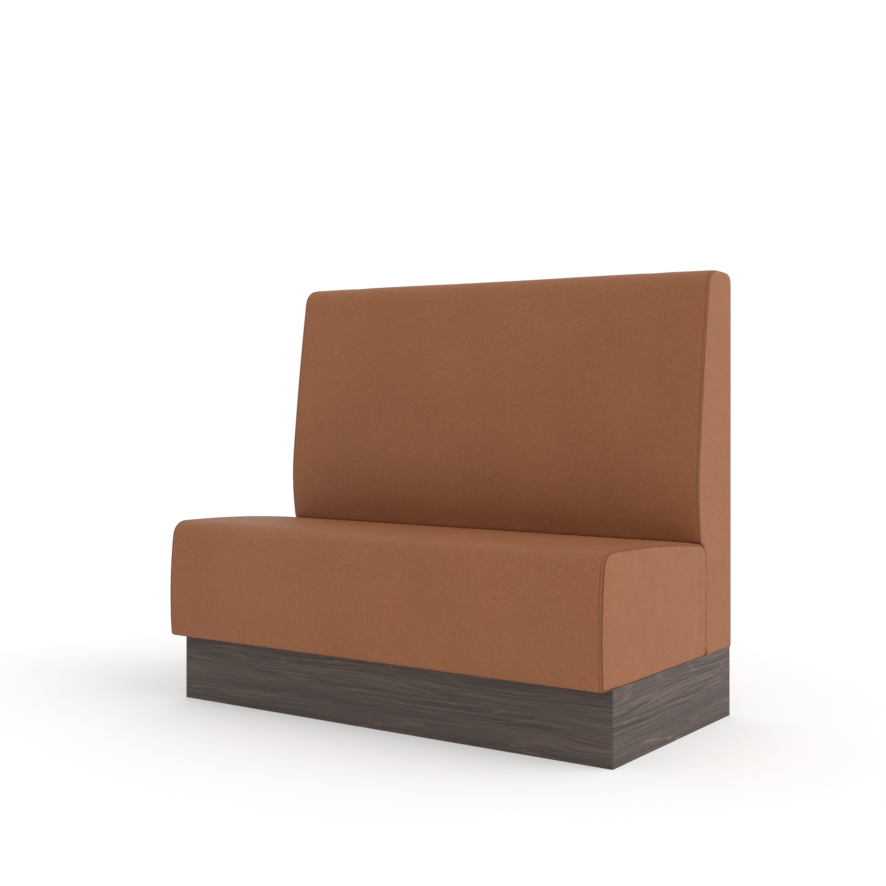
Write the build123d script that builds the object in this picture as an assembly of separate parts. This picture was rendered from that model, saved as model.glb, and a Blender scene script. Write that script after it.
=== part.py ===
from build123d import *
import os
from math import cos, radians, sin, tan

# Restaurant booth for two: a padded seat box and a tall padded back, bolted together on a wooden plinth.
# X runs along the bench, Y from front to back and Z up. The origin is on the floor under the middle.
# Lengths are in millimetres and angles in degrees. The right end is the +X end.

# Booth
booth_width = 1219.0
booth_depth = 650.0
booth_height = 1054.0

# Plinth
plinth_height = 163.0
toe_recess = 55.0
plinth_side_setback = 4.5
plinth_board = 18.0
plinth_edge_round = 1.5
cross_rail_height = 90.0
corner_block_width = 45.0

# Levelling feet, turned down out of the corner blocks
foot_recess = 1.0
foot_pad_radius = 17.0
foot_pad_height = 9.0
foot_collar_width = 13.0
foot_collar_height = 5.0
foot_nut_gap = 1.5
foot_stem_length = 62.0
foot_bore_spare = 6.0

# Tee nuts of the levelling feet and of the bolts that join seat and back, all on one thread
thread_radius = 4.0
thread_clearance = 0.08
tee_nut_flange_radius = 11.0
tee_nut_flange_thickness = 1.5
tee_nut_barrel_radius = 5.2
tee_nut_barrel_length = 10.0

# Covers: leathercloth sewn from panels and turned in where it is stapled
cover_thickness = 1.2
pad_clearance = 0.3
joint_clearance = 0.3
edge_round = 10.0
seam_inset = 3.0
turn_in = 36.0
staple_margin = 30.0
outside_seam_drop = 40.0
dust_cover_thickness = 0.6

# Seat, seen from the side
seat_front_height = 448.0
seat_fall = 28.0
seat_crown = 8.0
seat_nose_radius = 45.0
seat_heel_radius = 34.0
belly_rise = 102.0
belly_tuck_low = 4.5
belly_tuck_high = 14.3
hem_radius = 10.5

# Back, seen from the side
back_depth = 144.0
lumbar_depth = 183.0
lumbar_rise = 125.0
lumbar_radius = 620.0
lumbar_wrap = 15.0
rake_low = 5.9
rake_high = 8.9
back_nose_radius = 45.0
back_heel_radius = 18.0
back_tip_radius = 10.5
top_fall = 7.0

# Wooden frame of the seat
frame_board = 18.0
side_padding = 9.0
front_padding = 32.0
seat_foam_thickness = 113.0
seat_pitch = 3.3
deck_thickness = 15.0
rib_spacing = 400.0
vent_radius = 12.0
vent_row_spacing = 170.0
vent_columns = 3
vent_rows = 2

# Wooden frame of the back
lower_rail_drop = 28.0
lower_rail_height = 180.0
middle_rail_drop = 330.0
middle_rail_height = 90.0
face_board_thickness = 6.0
face_board_foot = 10.0
face_board_lean = 5.4
outside_board_thickness = 5.0
top_padding = 25.0
lumbar_pad_rise = 40.0
lumbar_pad_height = 300.0
lumbar_pad_thickness = 26.0

# Angle brackets between plinth and frames
bracket_leg = 38.0
bracket_length = 32.0
bracket_gauge = 2.0

# Wood screws, drawn with flat sides
screw_sides = 6
screw_head_radius = 4.0
screw_head_height = 2.6
screw_shank_radius = 2.0
screw_clearance = 0.1
screw_margin = 35.0
block_screw_length = 57.0
block_screw_height = 105.0
block_screw_step = 25.0
frame_screw_length = 50.0
deck_screw_length = 38.0
bracket_screw_length = 15.0

# Bolts that join seat and back
bolt_spacing = 460.0
bolt_drop = 150.0
bolt_hole_clearance = 0.5
bolt_head_width = 13.0
bolt_head_height = 5.3
bolt_tip = 3.0
washer_radius = 9.0
washer_thickness = 1.6

# How far a cutting shape runs past what it cuts
overrun = 10.0

# Angle of a square corner
square = 90.0

# Places that several pieces share
side = booth_width / 2
front = -booth_depth / 2
rear = booth_depth / 2
seam_side = side - seam_inset
window_side = seam_side - turn_in
plinth_side = side - plinth_side_setback
plinth_front = front + toe_recess
plinth_inner_side = plinth_side - plinth_board
plinth_inner_front = plinth_front + plinth_board
plinth_inner_rear = rear - plinth_board
seat_rear = rear - back_depth
seat_rear_height = seat_front_height - seat_fall
frame_base = plinth_height + cover_thickness
frame_side = side - cover_thickness - side_padding
frame_inner_side = frame_side - frame_board
seat_frame_front = front + front_padding
seat_frame_rear = seat_rear - cover_thickness
deck_front_height = seat_front_height - seat_foam_thickness
back_frame_front = seat_rear + joint_clearance + cover_thickness
back_frame_rear = rear - cover_thickness - outside_board_thickness
back_frame_top = booth_height - top_padding
lower_rail_top = seat_rear_height - lower_rail_drop
lower_rail_bottom = lower_rail_top - lower_rail_height
middle_rail_top = back_frame_top - middle_rail_drop
bracket_top = frame_base - dust_cover_thickness
rib_side = rib_spacing / 2
outside_seam_height = booth_height - outside_seam_drop
bolt_height = lower_rail_top - bolt_drop
foot_collar_foot = foot_recess + foot_pad_height
block_foot = foot_collar_foot + foot_collar_height + foot_nut_gap + tee_nut_flange_thickness


def deck_height(y):
    """Height of the top of the seat deck, which falls towards the back."""
    return deck_front_height - (y - seat_frame_front) * tan(radians(seat_pitch))


def deck_underside(y):
    """Height of the underside of the seat deck."""
    return deck_height(y) - deck_thickness


def face_front(z):
    """Place in Y of the front of the leaning board that carries the back's foam."""
    return back_frame_front + face_board_foot + (z - lower_rail_top) * tan(radians(face_board_lean))


def face_back(z):
    """Place in Y of the back of that board."""
    return face_front(z) + face_board_thickness / cos(radians(face_board_lean))


# Shapes that many pieces are made from


def slab(x_low, x_high, y_low, y_high, z_low, z_high):
    """A square-cut piece between two opposite corners."""
    corner = Pos(x_low, y_low, z_low)
    return corner * Box(x_high - x_low, y_high - y_low, z_high - z_low, align=Align.MIN)


def side_polygon(*points):
    """A closed outline in the Y-Z plane with straight sides."""
    return make_face(Polyline(*points, close=True))


def run_along(outline, x_low, x_high):
    """A side outline run along the bench from one place in X to another."""
    return extrude(Plane.YZ.offset(x_low) * outline, x_high - x_low)


def round_corner(outline, point, radius):
    """Round the corner of an outline that lies nearest to a point."""
    corner = outline.vertices().sort_by_distance(Vector(*point))[0]
    return fillet(corner, radius)


def other_end(piece):
    """The same piece at the left end of the booth."""
    return mirror(piece, about=Plane.YZ)


def screw(length, clearance=0):
    """A countersunk screw down from the origin, or with a clearance the hole that takes it."""
    head = RegularPolygon(screw_head_radius + clearance, screw_sides)
    shank = Pos(Z=-screw_head_height) * RegularPolygon(screw_shank_radius + clearance, screw_sides)
    return loft([head, shank]) + extrude(shank, screw_head_height - length - clearance)


def driven(places, length, clearance=0):
    """Screws of one length, each with its head at a point and facing a direction."""
    return [Plane(origin=point, z_dir=facing) * screw(length, clearance) for point, facing in places]


def drilled(piece, places, length):
    """A piece with the holes that those screws need."""
    return piece - driven(places, length, screw_clearance)


def on_both_sides(places):
    """Screw places at the right end, and their mirror images at the left end."""
    mirrored = [((-x, y, z), (-right, back, up)) for (x, y, z), (right, back, up) in places]
    return places + mirrored


# Plinth


def plinth_boards():
    """Four boards set on edge and mitred at the corners, with one cross rail between them."""
    ring = slab(-plinth_side, plinth_side, plinth_front, rear, 0, plinth_height)
    ring = fillet(ring.edges().filter_by(Axis.Z), plinth_edge_round)
    ring = ring - slab(
        -plinth_inner_side, plinth_inner_side, plinth_inner_front, plinth_inner_rear, 0, plinth_height
    )
    front_plan = Polyline(
        (-plinth_side, plinth_front), (plinth_side, plinth_front),
        (plinth_inner_side, plinth_inner_front), (-plinth_inner_side, plinth_inner_front), close=True,
    )
    back_plan = Polyline(
        (-plinth_side, rear), (plinth_side, rear),
        (plinth_inner_side, plinth_inner_rear), (-plinth_inner_side, plinth_inner_rear), close=True,
    )
    side_plan = Polyline(
        (plinth_side, plinth_front), (plinth_side, rear),
        (plinth_inner_side, plinth_inner_rear), (plinth_inner_side, plinth_inner_front), close=True,
    )
    front_board = ring & extrude(make_face(front_plan), plinth_height, dir=(0, 0, 1))
    back_board = ring & extrude(make_face(back_plan), plinth_height, dir=(0, 0, 1))
    right_board = ring & extrude(make_face(side_plan), plinth_height, dir=(0, 0, 1))
    front_board = drilled(front_board, block_screw_places(), block_screw_length)
    front_board = drilled(front_board, bracket_screw_places(), bracket_screw_length)
    back_board = drilled(back_board, block_screw_places(), block_screw_length)
    back_board = drilled(back_board, bracket_screw_places(), bracket_screw_length)
    right_board = drilled(right_board, block_screw_places(), block_screw_length)
    cross_rail = slab(
        -frame_board / 2, frame_board / 2, plinth_inner_front, plinth_inner_rear,
        plinth_height - cross_rail_height, plinth_height,
    )
    return {
        "plinth_front_board": front_board,
        "plinth_back_board": back_board,
        "plinth_right_board": right_board,
        "plinth_left_board": other_end(right_board),
        "plinth_cross_rail": cross_rail,
    }


def foot_places():
    """The four corners of the plinth, with the place in Y of each foot."""
    half_block = corner_block_width / 2
    return {"front": plinth_inner_front + half_block, "back": plinth_inner_rear - half_block}


def block_screw_places():
    """Two screws from each corner block, one into each board that it joins."""
    middle_x = plinth_inner_side - corner_block_width / 2
    inner_x = plinth_inner_side - corner_block_width
    places = []
    for end, y in foot_places().items():
        inner_y = y + corner_block_width / 2 if end == "front" else y - corner_block_width / 2
        facing_y = 1 if end == "front" else -1
        places.append(((inner_x, y, block_screw_height), (-1, 0, 0)))
        places.append(((middle_x, inner_y, block_screw_height + block_screw_step), (0, facing_y, 0)))
    return on_both_sides(places)


def corner_blocks():
    """Square blocks glued and screwed into the corners, each bored for a levelling foot."""
    x = plinth_inner_side - corner_block_width / 2
    bore_top = foot_collar_foot + foot_stem_length + foot_bore_spare
    nodes = {}
    for end, y in foot_places().items():
        block = slab(
            plinth_inner_side - corner_block_width, plinth_inner_side,
            y - corner_block_width / 2, y + corner_block_width / 2, block_foot, plinth_height,
        )
        bore = Cylinder(tee_nut_barrel_radius, bore_top - block_foot, align=(Align.CENTER, Align.CENTER, Align.MIN))
        block = block - Pos(x, y, block_foot) * bore
        block = drilled(block, block_screw_places(), block_screw_length)
        nodes[f"corner_block_{end}_right"] = block
        nodes[f"corner_block_{end}_left"] = other_end(block)
    return nodes


def levelling_feet():
    """Threaded stems with a spanner collar, each standing on a round pad just clear of the floor."""
    x = plinth_inner_side - corner_block_width / 2
    upright = (Align.CENTER, Align.CENTER, Align.MIN)
    collar = extrude(RegularPolygon(foot_collar_width / 2, 6, major_radius=False), foot_collar_height)
    stem = collar + Cylinder(thread_radius, foot_stem_length, align=upright)
    pad = Cylinder(foot_pad_radius, foot_pad_height, align=upright)
    nodes = {}
    for end, y in foot_places().items():
        placed_stem = Pos(x, y, foot_collar_foot) * stem
        placed_pad = Pos(x, y, foot_recess) * pad
        nodes[f"levelling_stem_{end}_right"] = placed_stem
        nodes[f"levelling_stem_{end}_left"] = other_end(placed_stem)
        nodes[f"levelling_pad_{end}_right"] = placed_pad
        nodes[f"levelling_pad_{end}_left"] = other_end(placed_pad)
    return nodes


def bracket_places():
    """Each bracket's place in X and Y, and which way its level leg points in Y."""
    return [(x, y, way) for x in (-rib_side, rib_side) for y, way in ((plinth_inner_front, 1), (plinth_inner_rear, -1))]


def bracket_screw_places():
    """One screw sideways into the plinth and one up into the frame, for each bracket."""
    places = []
    for x, y, way in bracket_places():
        places.append(((x, y + way * bracket_gauge, bracket_top - bracket_leg / 2), (0, way, 0)))
        places.append(((x, y + way * bracket_leg / 2, bracket_top - bracket_gauge), (0, 0, -1)))
    return places


def brackets():
    """Steel angles screwed to the plinth's front and back boards and up into the frames."""
    angles = []
    for x, y, way in bracket_places():
        tip = y + way * bracket_leg
        inner = y + way * bracket_gauge
        outline = side_polygon(
            (y, bracket_top), (tip, bracket_top), (tip, bracket_top - bracket_gauge),
            (inner, bracket_top - bracket_gauge), (inner, bracket_top - bracket_leg), (y, bracket_top - bracket_leg),
        )
        angle = run_along(outline, x - bracket_length / 2, x + bracket_length / 2)
        angles.append(drilled(angle, bracket_screw_places(), bracket_screw_length))
    return {"plinth_brackets": Compound(angles)}


# Outlines of the covered seat and back


def drawn_in(outline, inset):
    """The outline moved inwards all round, or left as it is where the inset is zero."""
    return offset(outline, -inset) if inset else outline


def seat_outline(inset=0):
    """The seat from the side: flat below and behind, bellied in front, crowned on top."""
    bottom_rear = (seat_rear, plinth_height)
    bottom_front = (front + belly_tuck_low, plinth_height)
    belly = (front, plinth_height + belly_rise)
    top_front = (front + belly_tuck_high, seat_front_height)
    top_rear = (seat_rear, seat_rear_height)
    crown = ((top_front[0] + top_rear[0]) / 2, (top_front[1] + top_rear[1]) / 2 + seat_crown)
    edges = [
        Line(bottom_rear, bottom_front),
        ThreePointArc(bottom_front, belly, top_front),
        ThreePointArc(top_front, crown, top_rear),
        Line(top_rear, bottom_rear),
    ]
    outline = make_face(edges)
    outline = round_corner(outline, bottom_front, hem_radius)
    outline = round_corner(outline, top_front, seat_nose_radius)
    outline = round_corner(outline, top_rear, seat_heel_radius)
    return drawn_in(outline, inset)


def back_outline(inset=0):
    """The back from the side: lumbar swell, raked face and round top, cut clear of the seat."""
    lumbar = (rear - lumbar_depth, seat_rear_height + lumbar_rise)
    swell_top = lumbar[1] + lumbar_radius * sin(radians(rake_low))
    nose_foot = booth_height - back_nose_radius * (1 - sin(radians(rake_high)))
    face_radius = (nose_foot - swell_top) / (sin(radians(rake_high)) - sin(radians(rake_low)))
    below = JernArc(lumbar, (0, -1), lumbar_radius, lumbar_wrap)
    above = JernArc(lumbar, (0, 1), lumbar_radius, -rake_low)
    face = JernArc(above @ 1, above % 1, face_radius, rake_low - rake_high)
    nose = JernArc(face @ 1, face % 1, back_nose_radius, rake_high - square)
    fall = sin(radians(top_fall))
    top_radius = (rear - back_heel_radius * (1 - fall) - (nose @ 1).X) / fall
    top = JernArc(nose @ 1, nose % 1, top_radius, -top_fall)
    heel = JernArc(top @ 1, top % 1, back_heel_radius, top_fall - square)
    foot = Polyline(heel @ 1, (rear, plinth_height), ((below @ 1).X, plinth_height), below @ 1)
    outline = drawn_in(make_face([below, above, face, nose, top, heel, *foot.edges()]), inset)
    seat_heel = seat_outline().edges().sort_by_distance(Vector(seat_rear, seat_rear_height))[0].arc_center
    joint = seat_rear + joint_clearance + inset
    behind_seat = side_polygon((front, 0), (joint, 0), (joint, seat_heel.Y), (front, seat_heel.Y))
    over_heel = Pos(*seat_heel) * Circle(seat_heel_radius + joint_clearance + inset)
    outline = outline - behind_seat - over_heel
    return round_corner(outline, (lumbar[0], seat_rear_height), back_tip_radius - inset)


def padded_block(outline, inset):
    """A side outline run along the whole bench, rounded at both ends and drawn in all over by an inset."""
    block = run_along(outline(inset), inset - side, side - inset)
    end_edges = block.faces().filter_by(Axis.X).edges()
    return fillet(end_edges, edge_round - inset)


def cover_skin(outline):
    """The leathercloth round a padded block, before it is opened and cut into panels."""
    return padded_block(outline, 0) - padded_block(outline, cover_thickness)


# Seat


def seat_covers():
    """One panel over front and top and one for each end, sewn where the ends begin to round."""
    hem = deck_underside(seat_frame_rear) - staple_margin
    low = plinth_height - overrun
    behind = seat_rear + overrun
    skin = cover_skin(seat_outline)
    skin = skin - slab(-window_side, window_side, plinth_inner_front, behind, low, plinth_height + turn_in)
    skin = skin - slab(-window_side, window_side, seat_rear - turn_in, behind, low, hem)
    end_zone = slab(seam_side, side + overrun, front - overrun, behind, low, booth_height)
    end_zone += slab(window_side, seam_side, plinth_inner_front, behind, low, plinth_height + turn_in)
    end_zone += slab(window_side, seam_side, seat_rear - turn_in, behind, low, hem)
    end_cover = skin & end_zone
    return {
        "seat_cover": skin - end_zone - other_end(end_zone),
        "seat_end_cover_right": end_cover,
        "seat_end_cover_left": other_end(end_cover),
    }


def seat_padding():
    """A foam block on the deck, a foam front and a thin pad on each end, clear of the rounded edges."""
    filling = padded_block(seat_outline, cover_thickness + pad_clearance)
    far_front = front - overrun
    behind = seat_rear + overrun
    above = seat_front_height + overrun
    over_deck = side_polygon(
        (far_front, deck_height(far_front)), (behind, deck_height(behind)), (behind, above), (far_front, above)
    )
    before_rail = side_polygon(
        (far_front, 0), (seat_frame_front, 0),
        (seat_frame_front, deck_height(seat_frame_front)), (far_front, deck_height(far_front)),
    )
    end_pad = run_along(seat_outline(edge_round), frame_side, side - cover_thickness - pad_clearance)
    return {
        "seat_foam": filling & run_along(over_deck, -frame_side, frame_side),
        "seat_front_foam": filling & run_along(before_rail, -frame_side, frame_side),
        "seat_end_pad_right": end_pad,
        "seat_end_pad_left": other_end(end_pad),
    }


def seat_frame_outline(y_low, y_high):
    """The seat frame from the side between two places in Y, up to the sloping deck."""
    return side_polygon(
        (y_low, frame_base), (y_high, frame_base), (y_high, deck_underside(y_high)), (y_low, deck_underside(y_low))
    )


def seat_screw_places():
    """Screws through the frame's ends into both rails, two to a rail end."""
    places = []
    for y in (seat_frame_front + frame_board / 2, seat_frame_rear - frame_board / 2):
        for z in (frame_base + screw_margin, deck_underside(y) - screw_margin):
            places.append(((frame_side, y, z), (1, 0, 0)))
    return on_both_sides(places)


def deck_screw_places():
    """Screws down through the deck into the frame's ends and ribs."""
    facing = (0, sin(radians(seat_pitch)), cos(radians(seat_pitch)))
    places = []
    for x in (rib_side, frame_side - frame_board / 2):
        for y in (seat_frame_front + screw_margin, seat_frame_rear - screw_margin):
            places.append(((x, y, deck_height(y)), facing))
    return on_both_sides(places)


def seat_frame():
    """A plywood box: two ends, two ribs and two rails, closed by a vented deck."""
    inner_front = seat_frame_front + frame_board
    inner_rear = seat_frame_rear - frame_board
    end = run_along(seat_frame_outline(seat_frame_front, seat_frame_rear), frame_inner_side, frame_side)
    rib = run_along(seat_frame_outline(inner_front, inner_rear), rib_side - frame_board / 2, rib_side + frame_board / 2)
    front_rail = run_along(
        seat_frame_outline(seat_frame_front, inner_front), -frame_inner_side, frame_inner_side
    )
    back_rail = run_along(seat_frame_outline(inner_rear, seat_frame_rear), -frame_inner_side, frame_inner_side)
    deck_outline = side_polygon(
        (seat_frame_front, deck_height(seat_frame_front)), (seat_frame_rear, deck_height(seat_frame_rear)),
        (seat_frame_rear, deck_underside(seat_frame_rear)), (seat_frame_front, deck_underside(seat_frame_front)),
    )
    deck = run_along(deck_outline, -frame_side, frame_side)
    middle = Pos(0, (seat_frame_front + seat_frame_rear) / 2, deck_front_height)
    vent = Cylinder(vent_radius, seat_foam_thickness)
    vents = [middle * place * vent for place in GridLocations(rib_spacing, vent_row_spacing, vent_columns, vent_rows)]
    end = drilled(end, seat_screw_places(), frame_screw_length)
    end = drilled(end, deck_screw_places(), deck_screw_length)
    rib = drilled(rib, deck_screw_places(), deck_screw_length)
    rib = drilled(rib, bracket_screw_places(), bracket_screw_length)
    front_rail = drilled(front_rail, seat_screw_places(), frame_screw_length)
    back_rail = drilled(back_rail, seat_screw_places(), frame_screw_length)
    return {
        "seat_end_right": end,
        "seat_end_left": other_end(end),
        "seat_rib_right": rib,
        "seat_rib_left": other_end(rib),
        "seat_front_rail": front_rail,
        "seat_back_rail": back_rail - bolt_holes() - tee_nut_holes(),
        "seat_deck": drilled(deck - vents, deck_screw_places(), deck_screw_length),
    }


def dust_cover():
    """A black cloth stapled over the open underside of both frames."""
    sheet = slab(-window_side, window_side, plinth_inner_front, plinth_inner_rear, bracket_top, frame_base)
    return {"dust_cover": drilled(sheet, bracket_screw_places(), bracket_screw_length)}


# Back


def back_covers():
    """One panel over face and top, one for each end, and a flat one on the outside back."""
    hem = lower_rail_top - staple_margin
    low = plinth_height - overrun
    before = seat_rear - overrun
    behind = rear + overrun
    skin = cover_skin(back_outline)
    skin = skin - slab(-window_side, window_side, before, plinth_inner_rear, low, plinth_height + turn_in)
    skin = skin - slab(-window_side, window_side, before, seat_rear + turn_in, low, hem)
    end_zone = slab(seam_side, side + overrun, front, behind, low, booth_height + overrun)
    end_zone += slab(window_side, seam_side, before, plinth_inner_rear, low, plinth_height + turn_in)
    end_zone += slab(window_side, seam_side, before, seat_rear + turn_in, low, hem)
    outside_zone = slab(-seam_side, seam_side, plinth_inner_rear, behind, low, outside_seam_height)
    end_cover = skin & end_zone
    return {
        "back_cover": skin - end_zone - other_end(end_zone) - outside_zone,
        "back_end_cover_right": end_cover,
        "back_end_cover_left": other_end(end_cover),
        "outside_back_cover": skin & outside_zone,
    }


def lumbar_outline():
    """A firm pad, flat against the face board and arched in front."""
    foot = lower_rail_top + lumbar_pad_rise
    head = foot + lumbar_pad_height
    lean = radians(face_board_lean)
    middle = (foot + head) / 2
    arch = (face_front(middle) - lumbar_pad_thickness * cos(lean), middle + lumbar_pad_thickness * sin(lean))
    low = (face_front(foot), foot)
    high = (face_front(head), head)
    return make_face([Line(low, high), ThreePointArc(high, arch, low)])


def back_padding():
    """Foam over face and top, a lumbar pad under it and a thin pad on each end of the back frame."""
    filling = padded_block(back_outline, cover_thickness + pad_clearance)
    before = rear - lumbar_depth - overrun
    behind = rear + overrun
    above = booth_height + overrun
    round_frame = side_polygon(
        (before, lower_rail_top), (face_front(lower_rail_top), lower_rail_top),
        (face_front(back_frame_top), back_frame_top), (behind, back_frame_top), (behind, above), (before, above),
    )
    round_pad = round_frame - lumbar_outline()
    end_pad = run_along(back_outline(edge_round), frame_side, side - cover_thickness - pad_clearance)
    return {
        "back_foam": filling & run_along(round_pad, -frame_side, frame_side),
        "lumbar_pad": run_along(lumbar_outline(), -frame_side, frame_side),
        "back_end_pad_right": end_pad,
        "back_end_pad_left": other_end(end_pad),
    }


def back_screw_places():
    """Screws through the frame's ends into the ends of its four rails."""
    lower_y = back_frame_front + frame_board / 2
    top_z = back_frame_top - frame_board / 2
    spots = [
        (lower_y, lower_rail_bottom + screw_margin),
        (lower_y, lower_rail_top - screw_margin),
        ((back_frame_front + back_frame_rear) / 2, frame_base + frame_board / 2),
        (back_frame_rear - frame_board / 2, middle_rail_top - middle_rail_height / 2),
        ((face_back(top_z) + back_frame_rear) / 2, top_z),
    ]
    return on_both_sides([((frame_side, y, z), (1, 0, 0)) for y, z in spots])


def back_rails():
    """Rails across the back: one flat on the plinth, one to bolt to the seat, one high up and one on top."""
    reach = frame_inner_side
    top_foot = back_frame_top - frame_board
    top_outline = side_polygon(
        (face_back(top_foot), top_foot), (face_back(back_frame_top), back_frame_top),
        (back_frame_rear, back_frame_top), (back_frame_rear, top_foot),
    )
    rails = {
        "back_bottom_rail": slab(
            -reach, reach, back_frame_front, back_frame_rear, frame_base, frame_base + frame_board
        ),
        "back_lower_rail": slab(
            -reach, reach, back_frame_front, back_frame_front + frame_board, lower_rail_bottom, lower_rail_top
        ),
        "back_middle_rail": slab(
            -reach, reach, back_frame_rear - frame_board, back_frame_rear,
            middle_rail_top - middle_rail_height, middle_rail_top,
        ),
        "back_top_rail": run_along(top_outline, -reach, reach),
    }
    return rails


def back_frame():
    """Shaped plywood uprights, let round the rails, with the face board in front and a board outside."""
    rails = back_rails()
    upright_outline = side_polygon(
        (back_frame_front, frame_base), (back_frame_front, lower_rail_top),
        (face_back(lower_rail_top), lower_rail_top), (face_back(back_frame_top), back_frame_top),
        (back_frame_rear, back_frame_top), (back_frame_rear, frame_base),
    )
    end = run_along(upright_outline, frame_inner_side, frame_side)
    end = drilled(end, back_screw_places(), frame_screw_length)
    rib = run_along(upright_outline, rib_side - frame_board / 2, rib_side + frame_board / 2)
    rib = rib - list(rails.values())
    face_outline = side_polygon(
        (face_front(lower_rail_top), lower_rail_top), (face_back(lower_rail_top), lower_rail_top),
        (face_back(back_frame_top), back_frame_top), (face_front(back_frame_top), back_frame_top),
    )
    outside = slab(
        -frame_side, frame_side, back_frame_rear, back_frame_rear + outside_board_thickness,
        frame_base, back_frame_top,
    )
    nodes = {name: drilled(rail, back_screw_places(), frame_screw_length) for name, rail in rails.items()}
    nodes["back_lower_rail"] = nodes["back_lower_rail"] - bolt_holes()
    nodes["back_bottom_rail"] = drilled(nodes["back_bottom_rail"], bracket_screw_places(), bracket_screw_length)
    return nodes | {
        "back_end_right": end,
        "back_end_left": other_end(end),
        "back_rib_right": rib,
        "back_rib_left": other_end(rib),
        "back_face_board": run_along(face_outline, -frame_side, frame_side),
        "outside_back_board": outside,
    }


# Fasteners


def tee_nut():
    """A tee nut with its six-sided flange under the origin and its threaded barrel standing on it."""
    flange = extrude(RegularPolygon(tee_nut_flange_radius, 6), -tee_nut_flange_thickness)
    barrel = Cylinder(
        tee_nut_barrel_radius, tee_nut_barrel_length, align=(Align.CENTER, Align.CENTER, Align.MIN)
    )
    bore = Cylinder(thread_radius + thread_clearance, 2 * tee_nut_barrel_length + overrun)
    return flange + barrel - bore


def bolt_places():
    """The bolts' places in X, along the rails that they join."""
    return (-bolt_spacing, 0, bolt_spacing)


def towards_front(x, y):
    """A frame on a bolt's line, with its Z axis towards the front."""
    return Plane(origin=(x, y, bolt_height), z_dir=(0, -1, 0))


def bolt_holes():
    """Clearance holes for the bolts through both rails."""
    hole = Cylinder(thread_radius + bolt_hole_clearance, 2 * back_depth)
    return [towards_front(x, seat_rear) * hole for x in bolt_places()]


def tee_nut_holes():
    """The wider holes that take the barrels of the bolts' tee nuts."""
    hole = Cylinder(
        tee_nut_barrel_radius, tee_nut_barrel_length, align=(Align.CENTER, Align.CENTER, Align.MAX)
    )
    return [towards_front(x, seat_frame_rear - frame_board) * hole for x in bolt_places()]


def fasteners():
    """Screws, tee nuts, bolts and washers, each kind in one node."""
    nut = tee_nut()
    flange_back = seat_frame_rear - frame_board
    bolt_nuts = [towards_front(x, flange_back) * Rot(X=2 * square) * nut for x in bolt_places()]
    foot_x = plinth_inner_side - corner_block_width / 2
    foot_nuts = [Pos(x, y, block_foot) * nut for x in (-foot_x, foot_x) for y in foot_places().values()]
    seat_face = back_frame_front + frame_board
    from_origin = (Align.CENTER, Align.CENTER, Align.MAX)
    washer = Cylinder(washer_radius, washer_thickness, align=from_origin)
    washer = washer - Cylinder(thread_radius + bolt_hole_clearance, 2 * washer_thickness + overrun)
    head = extrude(RegularPolygon(bolt_head_width / 2, 6, major_radius=False), -bolt_head_height)
    shank_length = seat_face + washer_thickness - flange_back + tee_nut_flange_thickness + bolt_tip
    bolt = head + Cylinder(thread_radius, shank_length, align=(Align.CENTER, Align.CENTER, Align.MIN))
    return {
        "corner_block_screws": Compound(driven(block_screw_places(), block_screw_length)),
        "bracket_screws": Compound(driven(bracket_screw_places(), bracket_screw_length)),
        "seat_frame_screws": Compound(driven(seat_screw_places(), frame_screw_length)),
        "deck_screws": Compound(driven(deck_screw_places(), deck_screw_length)),
        "back_frame_screws": Compound(driven(back_screw_places(), frame_screw_length)),
        "tee_nuts": Compound(foot_nuts + bolt_nuts),
        "joining_bolts": Compound([towards_front(x, seat_face + washer_thickness) * bolt for x in bolt_places()]),
        "joining_washers": Compound([towards_front(x, seat_face) * washer for x in bolt_places()]),
    }


def main():
    """Make every sub-part and write each one under its name."""
    os.makedirs("parts", exist_ok=True)
    makers = (
        plinth_boards, corner_blocks, levelling_feet, brackets,
        seat_frame, seat_padding, seat_covers, dust_cover,
        back_frame, back_padding, back_covers, fasteners,
    )
    for make in makers:
        for name, piece in make().items():
            export_step(piece, f"parts/{name}.step")


main()
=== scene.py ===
from math import cos, exp, pi, radians, sin, sqrt, tanh

import bmesh
import bpy
from mathutils import Matrix, Vector, kdtree, noise


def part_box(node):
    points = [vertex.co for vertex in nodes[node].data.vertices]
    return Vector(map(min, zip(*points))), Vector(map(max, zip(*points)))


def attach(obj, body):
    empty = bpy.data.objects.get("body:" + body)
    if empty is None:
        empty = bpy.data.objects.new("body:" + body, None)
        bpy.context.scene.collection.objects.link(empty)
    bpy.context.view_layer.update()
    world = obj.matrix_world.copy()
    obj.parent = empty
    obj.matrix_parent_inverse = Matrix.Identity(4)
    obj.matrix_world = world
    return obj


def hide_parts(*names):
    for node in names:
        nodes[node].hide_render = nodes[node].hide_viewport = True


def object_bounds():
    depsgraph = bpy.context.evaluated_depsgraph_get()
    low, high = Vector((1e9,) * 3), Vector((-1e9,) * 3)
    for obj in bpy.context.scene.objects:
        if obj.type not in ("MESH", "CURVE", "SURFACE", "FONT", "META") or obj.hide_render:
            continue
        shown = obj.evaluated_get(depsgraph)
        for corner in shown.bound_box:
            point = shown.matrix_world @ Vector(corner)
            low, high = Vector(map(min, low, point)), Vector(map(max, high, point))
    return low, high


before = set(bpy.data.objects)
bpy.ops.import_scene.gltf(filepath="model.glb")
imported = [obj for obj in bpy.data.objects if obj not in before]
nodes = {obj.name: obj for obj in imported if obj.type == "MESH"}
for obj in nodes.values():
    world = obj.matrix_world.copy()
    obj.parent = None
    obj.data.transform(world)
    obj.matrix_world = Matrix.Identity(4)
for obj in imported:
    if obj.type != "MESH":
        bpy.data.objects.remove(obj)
cad_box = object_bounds()
scene = bpy.context.scene
scene.view_settings.view_transform = "Standard"

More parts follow.
